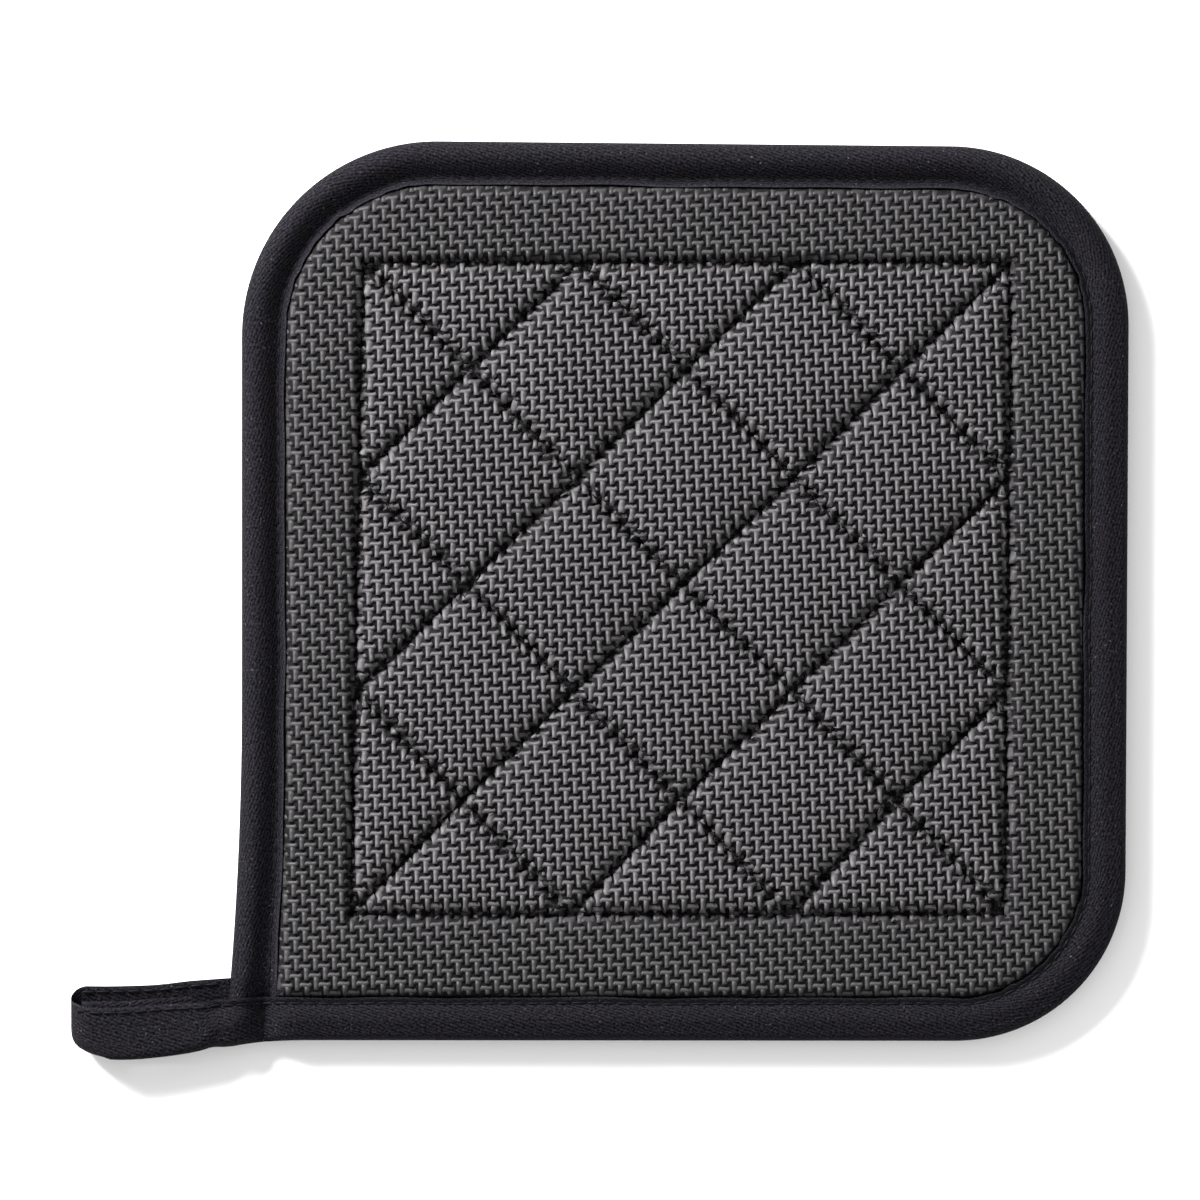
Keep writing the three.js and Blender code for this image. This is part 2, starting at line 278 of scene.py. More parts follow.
class TapeSettings(bpy.types.PropertyGroup):
    wall: length("Tape thickness", "Thickness of the twill tape", 1.1 * MM)
    step: length("Step", "Distance between the tape's sections", 1.6 * MM)
    across: bpy.props.IntProperty(
        name="Points across", description="Points of one section of the tape", default=31)
    twill: length("Twill pitch", "From one diagonal rib of the twill to the next", 0.85 * MM)
    tape_color: color("Tape", "Colour of the tape", 0.0062, 0.0057, 0.0074)
    lint_color: color("Lint", "Colour of the lint on the tape", 0.06, 0.057, 0.063)


class StageSettings(bpy.types.PropertyGroup):
    field: length("Field", "Width that the camera sees at the pad's face", 0.25806)
    distance: length("Camera distance", "From the camera to the pad's face", 3.0)
    key_energy: bpy.props.FloatProperty(
        name="Key", description="Power of the main light", default=67.0, unit="POWER")
    sky: bpy.props.FloatProperty(
        name="Fill", description="Strength of the light from all round", default=0.78)
    floor_color: color("Floor", "Colour of the floor", 0.93, 0.93, 0.93)


# Shape of the pad

Arc = namedtuple("Arc", "centre radius start middle end")


def clamp(value):
    return np.clip(value, 0, 1)


def bell(away, width):
    return np.exp(-(away / width) ** 2)


def spot(row):
    return Vector((row.x, row.y))


def settle(x, y, z):
    """Moves points of the plain square shape to where the pulled edge really lies."""
    near_left = clamp((PULL.inner_x - x) / PULL.width)
    fall = PULL.from_y - CORNERS[0].y
    down = clamp((PULL.from_y - np.maximum(y, PULL.to_y)) / fall)
    sag = clamp((SAG.x - x) / SAG.width) ** 2 * clamp((SAG.y - y) / SAG.width)
    x = x - PULL.flare * near_left * down ** 2
    across = bell(x - CREASE.x, np.where(x < CREASE.x, CREASE.left, CREASE.right))
    along = clamp((CREASE.from_y - y) / (CREASE.from_y - CREASE.full_y))
    above = clamp((z - CREASE.floor) / (FACE_LEVEL - CREASE.floor))
    hump = HUMP.height * bell(x - HUMP.x, HUMP.width)
    z = z + (hump - CREASE.depth * across) * along * above
    return np.stack([x, y - SAG.droop * sag, z], axis=-1)


def corner_arc(index, inset):
    """One rounded corner of the outline, moved inwards."""
    corner = CORNERS[index % 4]
    here = spot(corner)
    back = (spot(CORNERS[(index - 1) % 4]) - here).normalized()
    ahead = (spot(CORNERS[(index + 1) % 4]) - here).normalized()
    half_sine = math.sqrt((1 - back.dot(ahead)) / 2)
    radius = max(corner.radius - inset, 0)
    centre = here + (back + ahead).normalized() * ((inset + radius) / half_sine)
    start = math.atan2(back.x, -back.y)
    end = math.atan2(-ahead.x, ahead.y)
    if end < start:
        end += 2 * math.pi
    return Arc(centre, radius, start, (start + end) / 2, end)


def on_arc(arc, angle):
    return arc.centre + Vector((math.cos(angle), math.sin(angle))) * arc.radius


def rim_point(side, share, inset):
    """A point of the inset outline, share 0 to 1 from one corner's middle to the next."""
    outer = [corner_arc(side, 0), corner_arc(side + 1, 0)]
    near, far = corner_arc(side, inset), corner_arc(side + 1, inset)
    straight = (on_arc(outer[0], outer[0].end) - on_arc(outer[1], outer[1].start)).length
    first = outer[0].radius * (outer[0].end - outer[0].middle)
    last = outer[1].radius * (outer[1].middle - outer[1].start)
    along = share * (first + straight + last)
    if along < first:
        return on_arc(near, near.middle + (near.end - near.middle) * along / first)
    if along > first + straight:
        part = (along - first - straight) / last
        return on_arc(far, far.start + (far.middle - far.start) * part)
    return on_arc(near, near.end).lerp(on_arc(far, far.start), (along - first) / straight)


def quilt_place(column, row):
    """Points of the quilting, counted in columns and rows from its lower left corner."""
    lean = LEAN.left + (LEAN.right - LEAN.left) * column / CELLS
    x = np.interp(column, range(CELLS + 1), COLUMNS) + lean * (2 * row / CELLS - 1)
    return x, np.interp(row, range(CELLS + 1), ROWS)


def quilt_counts(cells):
    """Every place of a grid over the quilted square, counted in columns and rows."""
    steps = np.linspace(0, CELLS, cells + 1)
    return np.meshgrid(steps, steps, indexing="ij")


def channel_side(distance, reach):
    """How far a channel's side has risen at a distance from its line: a steep lip and a long slope."""
    lip = 1 - (1 - clamp(distance / LIP_REACH)) ** 2
    slope = 1 - (1 - clamp(distance / reach)) ** 3
    return LIP_SHARE * lip + (1 - LIP_SHARE) * slope


def line_distance(count):
    return np.abs(count - 2 * np.round(count / 2)) * HALF_GAP


def near_seams(column, row):
    """Distance from the nearest rising, falling and frame line, each with the place along it."""
    up, down = row + column, row - column
    beside, below = np.minimum(column, CELLS - column), np.minimum(row, CELLS - row)
    return [
        (line_distance(down), up * HALF_GAP),
        (line_distance(up), down * HALF_GAP),
        (np.clip(np.minimum(beside, below), 0, None) * CELL, np.where(beside < below, row, column) * CELL),
    ]


def ragged(along, pitch):
    """An uneven edge beside a seam in millimetres, wider at each needle hole."""
    slow = sum(np.sin(along * turns + start) for turns, start in RAGGED_WAVES)
    holes = RAGGED_PARTS.holes * np.cos(2 * np.pi * along / pitch)
    return RAGGED * (holes + RAGGED_PARTS.waves * slow)


def rough_distance(distance, along, pitch):
    """The distance from a seam as its channel shows it, with uneven sides."""
    uneven = ROUGH.share * ragged(along, pitch) * clamp(distance / ROUGH.reach)
    return np.clip(distance - uneven, 0, None)


def needle_pull(distance, along, pitch):
    """Deeper at each needle hole, 0 to 1, and gone a little way beside the line."""
    return bell(distance, NEEDLE_REACH) * (0.5 + 0.5 * np.cos(2 * np.pi * along / pitch))


def thread_press(distance, along, pitch):
    """How much of the ribs' height is left beside the thread, from PRESSED on it to 1 away from it."""
    return PRESSED + (1 - PRESSED) * clamp((distance - ragged(along, pitch)) / PRESS_REACH) ** 2


class Face(namedtuple("Face", "side level swell reach depths pitch blown")):
    """Heights of one face of the pad, in millimetres. The depths are of rising, falling and frame lines."""

    def height(self, column, row):
        rising, falling, edge = near_seams(column, row)
        lines = [(rough_distance(*line, self.pitch), line[1]) for line in (rising, falling)] + [edge]
        sides = [channel_side(distance, self.reach) for distance, _ in lines]
        drawn = sum((depth * (1 - side) + NEEDLE_DEPTH * needle_pull(*line, self.pitch)) ** 4
                    for depth, side, line in zip(self.depths, sides, lines)) ** 0.25
        i, j = (np.floor(count / 2).astype(int) % len(PUFFS) for count in (row + column, row - column))
        full = math.prod(sides) if self.blown is None else sheet_height(self.blown, column, row)
        return self.level + self.side * (self.swell * PUFFS[i, j] * full - drawn)

    def border(self, along, out):
        """Height outside the sewn frame at a distance out from it."""
        drawn = self.depths[2] * (1 - channel_side(out, self.reach))
        drawn += NEEDLE_DEPTH * needle_pull(out, along, self.pitch)
        bulge = BORDER_BULGE * (1 - BORDER_FALL * clamp(out / BORDER_WIDTH)) if self.side > 0 else 0
        return self.level + bulge - self.side * drawn

    def press(self, column, row):
        """How much of the ribs' height is left beside the nearest seam."""
        return np.minimum.reduce([thread_press(*line, self.pitch) for line in near_seams(column, row)])


def pad_faces(pad, thread):
    """The face of the pad and its back, whose channels are half as deep."""
    depths = [depth / MM for depth in (pad.rising_depth, pad.falling_depth, pad.frame_depth)]
    halved = [depth / 2 for depth in depths]
    pitch = thread.pitch / MM
    front = Face(1, FACE_LEVEL, pad.swell / MM, FRONT_REACH, depths, pitch, blown_sheet())
    return front, Face(-1, 0.0, 0.0, BACK_REACH, halved, pitch, None)


def frame_stations(cells):
    """Places round the sewn frame: column, row, side, share of that side and length along it."""
    steps = np.arange(cells) * CELLS / cells
    full = np.full(cells, float(CELLS))
    zero = np.zeros(cells)
    column = np.concatenate([steps, full, CELLS - steps, zero])
    row = np.concatenate([zero, steps, full, CELLS - steps])
    side = np.repeat(np.arange(4), cells)
    return column, row, side, np.tile(steps / CELLS, 4), np.where(side % 2 == 0, column, row) * CELL


def border_rows(face, cells, outs, rims):
    """Rows of points from the sewn frame out to the rim, at distances out and then at insets."""
    column, row, side, share, along = frame_stations(cells)
    start = np.stack(quilt_place(column, row), axis=-1)
    rim, inner = (np.array([rim_point(s, t, inset) for s, t in zip(side, share)]) for inset in (0, 1))
    inward = inner - rim
    limit = rim + inward * RIM_ROWS[0].inset
    length = np.linalg.norm(limit - start, axis=1)
    edge = face.height(column, row)
    rows = []
    for out in outs:
        reach = out * clamp(length / length.max())
        point = start + (limit - start) * (reach / length)[:, None]
        blend = clamp(out / BORDER_BLEND)
        rows.append(settle(*point.T, edge * (1 - blend) + face.border(along, reach) * blend))
    for entry in rims:
        point = rim + inward * entry.inset
        z = np.full(len(rim), entry.front if face.side > 0 else entry.back)
        rows.append(settle(*point.T, z))
    return np.array(rows)


def quilt_grid(face, cells):
    """The quilted square of one face as a grid of points."""
    column, row = quilt_counts(cells)
    return settle(*quilt_place(column, row), face.height(column, row))


# Cloth simulation

def sewn_sheet():
    """The quilted square as a low-domed sheet, with a group that holds it along every sewn line."""
    count = SHEET_STEPS * CELLS
    column, row = quilt_counts(count)
    away = np.minimum.reduce([distance for distance, _ in near_seams(column, row)])
    dome = SHEET_DOME * np.sin(np.pi / 2 * clamp(2 * away / HALF_GAP))
    points = np.stack([*quilt_place(column, row), dome], axis=-1)
    sheet = new_mesh("sewn_sheet", points.reshape(-1, 3), grid_faces(0, count + 1, count + 1))
    sewn = np.flatnonzero(away.ravel() < SHEET_SEWN)
    sheet.vertex_groups.new(name="sewn").add(sewn.tolist(), 1.0, "REPLACE")
    return sheet


@lru_cache
def blown_sheet():
    """Heights of the sheet, 0 to about 1, after pressure has swollen it between its seams."""
    scene = bpy.context.scene
    sheet = sewn_sheet()
    cloth = sheet.modifiers.new("swell", "CLOTH")
    fabric = cloth.settings
    fabric.quality = SHEET_QUALITY
    fabric.mass = SHEET_MASS
    fabric.bending_stiffness = SHEET_STIFFNESS
    fabric.vertex_group_mass = "sewn"
    fabric.shrink_min = -SHEET_SPARE
    fabric.use_pressure = True
    fabric.uniform_pressure_force = SHEET_PRESSURE
    fabric.effector_weights.gravity = 0
    cloth.point_cache.frame_end = CLOTH_FRAMES
    for number in range(1, CLOTH_FRAMES + 1):
        scene.frame_set(number)
    apply_modifiers(sheet)
    scene.frame_set(1)
    points = np.zeros(len(sheet.data.vertices) * 3)
    sheet.data.vertices.foreach_get("co", points)
    bpy.data.objects.remove(sheet)
    side = SHEET_STEPS * CELLS + 1
    heights = np.clip(points[2::3].reshape(side, side) / MM, 0, SHEET_CAP)
    return heights / np.percentile(heights, SHEET_FULL_RANK)


def sheet_height(heights, column, row):
    """The sheet's height at a place counted in columns and rows, between its four nearest points."""
    across = np.clip(column * SHEET_STEPS, 0, heights.shape[0] - 1.001)
    up = np.clip(row * SHEET_STEPS, 0, heights.shape[1] - 1.001)
    i, j = across.astype(int), up.astype(int)
    a, b = across - i, up - j
    near = heights[i, j] * (1 - b) + heights[i, j + 1] * b
    far = heights[i + 1, j] * (1 - b) + heights[i + 1, j + 1] * b
    return near * (1 - a) + far * a


# Meshes

def grid_faces(first, rows, columns, closed=False, flip=False):
    """Quads of a grid of points that starts at index first."""
    index = first + np.arange(rows * columns).reshape(rows, columns)
    if closed:
        index = np.hstack([index, index[:, :1]])
    quads = np.stack([index[:-1, :-1], index[1:, :-1], index[1:, 1:], index[:-1, 1:]], axis=-1)
    quads = quads.reshape(-1, 4)
    return quads[:, ::-1] if flip else quads


def new_mesh(name, points, faces=(), edges=()):
    """A mesh object from points in millimetres."""
    mesh = bpy.data.meshes.new(name)
    mesh.from_pydata((np.asarray(points) * MM).tolist(), edges, [list(map(int, face)) for face in faces])
    mesh.validate()
    return link_mesh(name, mesh)


def shape_object(name, work):
    """A smooth object from a finished working mesh."""
    mesh = bpy.data.meshes.new(name)
    work.to_mesh(mesh)
    work.free()
    smooth(mesh)
    return link_mesh(name, mesh)


def link_mesh(name, mesh):
    piece = bpy.data.objects.new(name, mesh)
    bpy.context.scene.collection.objects.link(piece)
    return piece


def weld(piece, distance=1e-6):
    """Merges the points of touching grids and turns every face outwards."""
    work = bmesh.new()
    work.from_mesh(piece.data)
    bmesh.ops.remove_doubles(work, verts=work.verts, dist=distance)
    bmesh.ops.recalc_face_normals(work, faces=work.faces)
    work.to_mesh(piece.data)
    work.free()


def smooth(mesh):
    mesh.polygons.foreach_set("use_smooth", [True] * len(mesh.polygons))


def store(mesh, name, values):
    mesh.attributes.new(name, "FLOAT", "POINT").data.foreach_set("value", values)


def finish_piece(piece, material=None):
    """Gives a piece its material, if one is given, and ties it to the model's body."""
    if material is not None:
        piece.data.materials.clear()
        piece.data.materials.append(material)
    smooth(piece.data)
    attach(piece, "root")


def apply_modifiers(piece):
    """Turns a piece with its modifiers into a plain mesh."""
    graph = bpy.context.evaluated_depsgraph_get()
    mesh = bpy.data.meshes.new_from_object(piece.evaluated_get(graph), depsgraph=graph)
    piece.modifiers.clear()
    old = piece.data
    piece.data = mesh
    bpy.data.meshes.remove(old)
    mesh.name = piece.name


# Node trees

class Tree:
    """A small writer for geometry and shader node trees. A node as a value means its first output."""

    def __init__(self, tree):
        self.tree = tree
        self.tree.nodes.clear()

    def add(self, kind, *values, **named):
        """A node with values for its first inputs, named inputs in capitals, and settings."""
        node = self.tree.nodes.new(kind)
        inputs = list(enumerate(values))
        for name, value in named.items():
            if name[0].isupper():
                inputs.append((name.replace("_", " "), value))
            else:
                setattr(node, name, value)
        for socket, value in inputs:
            self.plug(node.inputs[socket], value)
        return node

    def plug(self, socket, value):
        if isinstance(value, bpy.types.NodeSocket):
            self.tree.links.new(value, socket)
        elif isinstance(value, bpy.types.Node):
            self.tree.links.new(value.outputs[0], socket)
        else:
            socket.default_value = value

    def geo(self, kind, *values, **named):
        return self.add("GeometryNode" + kind, *values, **named)

    def math(self, operation, *values):
        return self.add("ShaderNodeMath", *values, operation=operation)

    def scale(self, vector, factor):
        return self.add("ShaderNodeVectorMath", vector, Scale=factor, operation="SCALE")

    def object_geometry(self, source):
        return self.geo("ObjectInfo", source).outputs["Geometry"]

    def attribute(self, name):
        return self.geo("InputNamedAttribute", name, data_type="FLOAT").outputs["Attribute"]

    def store(self, geometry, name, value):
        return self.geo("StoreNamedAttribute", geometry, Name=name, Value=value, data_type="FLOAT",
                        domain="POINT")

    def finish(self, geometry, material):
        """Realizes the geometry, sets its material and sends it out."""
        real = self.geo("RealizeInstances", geometry)
        self.add("NodeGroupOutput", self.geo("SetMaterial", real, Material=material))
        return self.tree

    def object_place(self):
        return self.add("ShaderNodeTexCoord").outputs["Object"]

    def read(self, name):
        return self.add("ShaderNodeAttribute", attribute_name=name).outputs["Fac"]

    def noise(self, place, scale, detail=2.0):
        return self.add("ShaderNodeTexNoise", place, Scale=scale, Detail=detail)

    def ramp(self, value, low, high, bottom=0.0, top=1.0):
        return self.add("ShaderNodeMapRange", value, low, high, bottom, top)

    def mix(self, factor, first, second):
        node = self.add("ShaderNodeMix", factor, data_type="RGBA")
        for socket, value in ((6, first), (7, second)):
            self.plug(node.inputs[socket], value)
        return node.outputs[2]

    def shades(self, factor, color, dark, light):
        """A blend from a darker to a paler shade of one colour."""
        return self.mix(factor, shade(color, dark), shade(color, light))


def shade(color, share):
    return [channel * share for channel in color[:3]] + [1]


def geometry_tree(name, **inputs):
    """An empty geometry tree with named inputs, given as name: socket type."""
    tree = bpy.data.node_groups.new(name, "GeometryNodeTree")
    tree.is_modifier = True
    for label, kind in {"Geometry": "Geometry", **inputs}.items():
        tree.interface.new_socket(label.replace("_", " "), in_out="INPUT", socket_type="NodeSocket" + kind)
    tree.interface.new_socket("Geometry", in_out="OUTPUT", socket_type="NodeSocketGeometry")
    writer = Tree(tree)
    return writer, writer.add("NodeGroupInput").outputs


def run_tree(piece, tree, values):
    """Runs a geometry tree on a piece with these named values and keeps the result as its mesh."""
    modifier = piece.modifiers.new(tree.name, "NODES")
    modifier.node_group = tree
    for item in tree.interface.items_tree:
        if item.item_type == "SOCKET" and item.in_out == "INPUT" and item.name in values:
            modifier[item.identifier] = values[item.name]
    apply_modifiers(piece)


def rib_tree():
    """Two rows of ribs, offset by half a pitch, laid on the panel and cut off at its rim."""
    g, source = geometry_tree(
        "emboss_ribs", Rib="Object", Panel="Object", Pitch_across="Float", Pitch_up="Float",
        Tilt="Float", Origin="Vector", Count="Int", Material="Material")
    count, across, up = (source[name] for name in ("Count", "Pitch across", "Pitch up"))
    steps = g.math("SUBTRACT", count, 1.0)
    width, height = (g.math("MULTIPLY", steps, pitch) for pitch in (across, up))
    grid = g.geo("MeshGrid", width, height, count, count)
    half = g.scale(g.add("ShaderNodeCombineXYZ", across, up), 0.5)
    both = g.geo("JoinGeometry", grid)
    g.plug(both.inputs[0], g.geo("Transform", grid, Translation=half))
    turn = g.add("ShaderNodeCombineXYZ", Z=source["Tilt"])
    placed = g.geo("Transform", both, Translation=source["Origin"], Rotation=turn)
    rib = g.object_geometry(source["Rib"])
    ribs = g.geo("InstanceOnPoints", g.geo("MeshToPoints", placed), Instance=rib, Rotation=turn)
    place = g.add("ShaderNodeSeparateXYZ", g.geo("InputPosition")).outputs
    above = g.add("ShaderNodeCombineXYZ", place["X"], place["Y"], RAY_FROM)
    panel = g.object_geometry(source["Panel"])
    press, worn = (
        g.geo("Raycast", panel, Attribute=g.attribute(name), Source_Position=above,
              Ray_Direction=(0, 0, -1), Ray_Length=2 * RAY_FROM).outputs
        for name in ("press", "worn"))
    left = press["Attribute"]
    lift = g.scale(press["Hit Normal"], g.math("MULTIPLY", place["Z"], left))
    landed = g.add("ShaderNodeVectorMath", press["Hit Position"], lift, operation="ADD")
    missed = g.add("FunctionNodeBooleanMath", press["Is Hit"], operation="NOT")
    kept = g.geo("DeleteGeometry", g.geo("RealizeInstances", ribs), Selection=missed)
    # Pressed ribs keep less of the painted highlight on their crests, and the painted shade of the border
    # is taken from the panel
    toned = g.store(kept, "rise", g.math("MULTIPLY", g.attribute("rise"), left))
    border_shaded = g.store(toned, "worn", worn["Attribute"])
    return g.finish(g.geo("SetPosition", border_shaded, Position=landed), source["Material"])


def stitch_tree():
    """A stitch on every pitch of the seam lines, turned along its line."""
    g, source = geometry_tree("seam_stitches", Stitch="Object", Pitch="Float", Material="Material")
    lines = g.geo("MeshToCurve", source["Geometry"])
    even = g.geo("ResampleCurve", lines, Length=source["Pitch"], mode="LENGTH")
    stitch = g.object_geometry(source["Stitch"])
    turn = g.add("FunctionNodeAlignRotationToVector", Vector=g.geo("InputTangent"), axis="X")
    stitches = g.geo("InstanceOnPoints", even, Instance=stitch, Rotation=turn)
    return g.finish(stitches, source["Material"])


# Materials

def new_material(name, **values):
    """A material with a Principled shader that has these plain values."""
    material = bpy.data.materials.new(name)
    material.use_nodes = True
    s = Tree(material.node_tree)
    shader = s.add("ShaderNodeBsdfPrincipled", **values)
    s.add("ShaderNodeOutputMaterial", shader)
    return material, s, shader.inputs


def finish_shader(s, inputs, color, grain, rough, height, strength, distance):
    """Plugs the colour, lets a grain vary the roughness, and makes a bump of a height."""
    s.plug(inputs["Base Color"], color)
    s.plug(inputs["Roughness"], s.ramp(grain, 0.3, 0.7, *rough))
    bump = s.add("ShaderNodeBump", Height=height, Strength=strength, Distance=distance)
    s.plug(inputs["Normal"], bump)


def rib_material(ribs):
    """Grey rubbery ribs with a painted highlight that makes them paler the higher they stand, painted shade
    on the border, a soft gloss and a fine grain.
    """
    material, s, inputs = new_material("foam_ribs", Specular_IOR_Level=0.2)
    place = s.object_place()
    patches = s.noise(place, 60.0, 4.0)
    grain = s.noise(place, 2600.0)
    mixed = s.math("MULTIPLY_ADD", grain, 0.25, s.math("MULTIPLY", patches, 0.35))
    # Painted highlight: the higher a point of a rib stands, the paler its colour
    tone = s.math("ADD", mixed, s.math("POWER", s.read("rise"), 2.0))
    crest_lit = s.shades(s.ramp(tone, 0.25, 1.3), ribs.color, 0.25, 0.99)
    # Painted shade: ribs on the plain border are darkened towards black
    worn = s.mix(s.ramp(s.read("worn"), 0, 1, BORDER_SHADE, 1.0), [0, 0, 0, 1], crest_lit)
    finish_shader(s, inputs, worn, patches, (0.48, 0.62), grain, 0.35, 0.0001)
    return material


def ground_material(pad):
    """Near-black rubber between the ribs."""
    material, s, inputs = new_material("foam_ground", Specular_IOR_Level=0.04)
    grain = s.noise(s.object_place(), 1500.0)
    rubber = s.shades(grain, pad.ground_color, 0.6, 1.5)
    finish_shader(s, inputs, rubber, grain, (0.6, 0.8), grain, 0.5, 0.0002)
    return material


def weave_height(s, place, pitch):
    """A plain weave, over and under, from two crossed waves."""
    parts = s.add("ShaderNodeSeparateXYZ", place).outputs
    turns = 2 * math.pi / pitch
    return s.math("MULTIPLY", *(s.math("SINE", s.math("MULTIPLY", parts[axis], turns)) for axis in "XY"))


def back_material(pad):
    """Plain black cotton cloth on the back."""
    material, s, inputs = new_material("back_cloth", Specular_IOR_Level=0.05, Sheen_Weight=0.01)
    place = s.object_place()
    fuzz = s.noise(place, 900.0, 4.0)
    height = s.math("MULTIPLY_ADD", fuzz, 0.8, weave_height(s, place, 0.9 * MM))
    cloth = s.shades(s.ramp(height, -0.4, 1.4), pad.back_color, 0.6, 1.7)
    finish_shader(s, inputs, cloth, fuzz, (0.85, 0.95), height, 0.6, 0.0002)
    return material


def tape_material(tape, tape_width):
    """Matte black twill with fine diagonal ribs, fuzz, pale lint and a painted highlight along both edges,
    laid out on the tape's own map.
    """
    material, s, inputs = new_material(
        "edge_twill", Specular_IOR_Level=0.03, Sheen_Weight=0.004, Sheen_Roughness=0.5)
    place = s.add("ShaderNodeUVMap", uv_map="tape")
    parts = s.add("ShaderNodeSeparateXYZ", place).outputs
    slant = s.math("MULTIPLY_ADD", parts["X"], -0.4, parts["Y"])
    wobble = s.math("MULTIPLY", s.noise(place, 500.0), 6.0)
    twill = s.math("SINE", s.math("MULTIPLY_ADD", slant, 2 * math.pi / tape.twill, wobble))
    fuzz = s.noise(place, 1700.0, 3.0)
    height = s.math("MULTIPLY_ADD", fuzz, 12.0, twill)
    cloth = s.shades(s.ramp(height, 4.1, 8.6), tape.tape_color, 0.14, 2.45)
    specks = s.ramp(s.noise(place, 1500.0, 1.0), 0.66, 0.78)
    lint = s.math("MULTIPLY", specks, s.ramp(s.noise(place, 120.0, 1.0), 0.40, 0.62))
    # Painted highlight: a paler, fuzzy line along both long edges of the tape
    from_edge = s.math("PINGPONG", parts["Y"], tape_width / 2)
    edge_highlight = s.math("MULTIPLY", s.ramp(from_edge, EDGE_HIGHLIGHT_WIDTH, 0.3 * EDGE_HIGHLIGHT_WIDTH), fuzz)
    cloth = s.mix(edge_highlight, cloth, shade(tape.tape_color, 3.4))
    linty = s.mix(lint, cloth, list(tape.lint_color))
    finish_shader(s, inputs, linty, fuzz, (0.75, 0.9), height, 0.5, 0.00006)
    return material


def thread_material(thread):
    """Black spun thread with a slight gloss."""
    material, s, inputs = new_material("sewing_thread", Specular_IOR_Level=0.08)
    twist = s.noise(s.object_place(), 3500.0)
    spun = s.shades(twist, thread.color, 0.7, 2.2)
    finish_shader(s, inputs, spun, twist, (0.45, 0.65), twist, 0.6, 0.0001)
    return material


def floor_material(stage):
    """Pale matte floor, barely mottled."""
    material, s, inputs = new_material("studio_floor", Specular_IOR_Level=0.1, Roughness=0.9)
    mottle = s.noise(s.object_place(), 3.0)
    s.plug(inputs["Base Color"], s.shades(mottle, stage.floor_color, 0.99, 1))
    return material


# Foam pad

def quilted_mesh(name, faces, cells, rows):
    """The quilted squares of these faces with rows of points round them, as one mesh."""
    points, quads, size = [], [], cells + 1
    for number, face in enumerate(faces):
        points.append(quilt_grid(face, cells).reshape(-1, 3))
        quads.append(grid_faces(number * size ** 2, size, size, flip=face.side < 0))
    points.append(rows.reshape(-1, 3))
    quads.append(grid_faces(len(faces) * size ** 2, len(rows), rows.shape[1], closed=True))
    return new_mesh(name, np.concatenate(points), np.concatenate(quads))


def panel_object(face, cells):
    """The face that shows inside the tape, without its back, for the ribs to lie on."""
    rims = RIM_ROWS[:PANEL_RIM_ROWS]
    panel = quilted_mesh("panel_guide", [face], cells, border_rows(face, cells, RING_OUTS, rims))
    along = frame_stations(cells)[4]
    inside = face.press(*quilt_counts(cells)).ravel()
    press = [BORDER_PRESS * thread_press(out, along, face.pitch) for out in RING_OUTS]
    press += [np.full(len(along), row.press) for row in rims]
    store(panel.data, "press", np.concatenate([inside, *press]))
    # Weights of the painted shade on the border: 1 inside the sewn frame, and 0, fully shaded, from a
    # little way out from it to the rim
    worn = [max(1 - out / BORDER_SHADE_REACH, 0) for out in RING_OUTS] + [0] * len(rims)
    store(panel.data, "worn", np.concatenate([np.ones(len(inside)), np.repeat(worn, len(along))]))
    weld(panel)
    if panel.data.polygons[0].normal.z < 0:
        panel.data.flip_normals()
    return panel


def pad_object(front, back, cells):
    """Both faces of the pad and its rim as one closed mesh."""
    pad = quilted_mesh("quilted_foam", [front, back], cells, np.concatenate([
        border_rows(front, cells, RING_OUTS, RIM_ROWS),
        border_rows(back, cells, RING_OUTS[::2], RIM_ROWS)[::-1],
    ]))
    weld(pad)
    return pad


def rib_object():
    """One raised T, as two ridges with a foot, two shoulders and a foot across."""
    work = bmesh.new()
    for rows in (RIB_BAR, RIB_STEM):
        sections = []
        for index, row in enumerate(rows):
            before, after = rows[max(index - 1, 0)], rows[min(index + 1, len(rows) - 1)]
            along = (spot(after) - spot(before)).normalized()
            across = Vector((-along.y, along.x))
            section = []
            for away, z in ((row.gentle, RIB_FOOT), (row.crest, row.height),
                            (-row.crest, row.height), (-row.steep, RIB_FOOT)):
                flat = spot(row) + across * away
                section.append(work.verts.new((flat.x * MM, flat.y * MM, z * MM)))
            sections.append(section)
        for first, second in zip(sections, sections[1:]):
            for a, b in zip(range(3), range(1, 4)):
                work.faces.new((first[a], first[b], second[b], second[a]))
        work.faces.new(sections[0])
        work.faces.new(reversed(sections[-1]))
    bmesh.ops.recalc_face_normals(work, faces=work.faces)
    rib = shape_object("rib_shape", work)
    # Each point's share of the tallest height, which the rib material paints as a highlight on the crests
    heights = [vertex.co.z / MM for vertex in rib.data.vertices]
    store(rib.data, "rise", [max(height, 0) / RIB_TALLEST for height in heights])
    return rib


# Seams

def seam_lines(face, lift):
    """The sewn frame and every slanting line as rows of points just over the channel's floor."""
    lines = [[(0, 0), (CELLS, 0), (CELLS, CELLS), (0, CELLS), (0, 0)]]
    for count in range(2, 2 * CELLS, 2):
        low, high = max(0, count - CELLS), min(CELLS, count)
        lines.append([(low, count - low), (high, count - high)])
        lines.append([(low, CELLS - count + low), (high, CELLS - count + high)])
    seams = []
    for line in lines:
        places = []
        for start, end in zip(line, line[1:]):
            across, up = end[0] - start[0], end[1] - start[1]
            length = max(abs(across), abs(up)) * SEAM_STEPS
            for step in range(length):
                part = step / length
                places.append((start[0] + across * part, start[1] + up * part))
        places.append(line[-1])
        column, row = np.array(places, float).T
        z = face.height(column, row) + face.side * lift
        seams.append(settle(*quilt_place(column, row), z))
    return seams


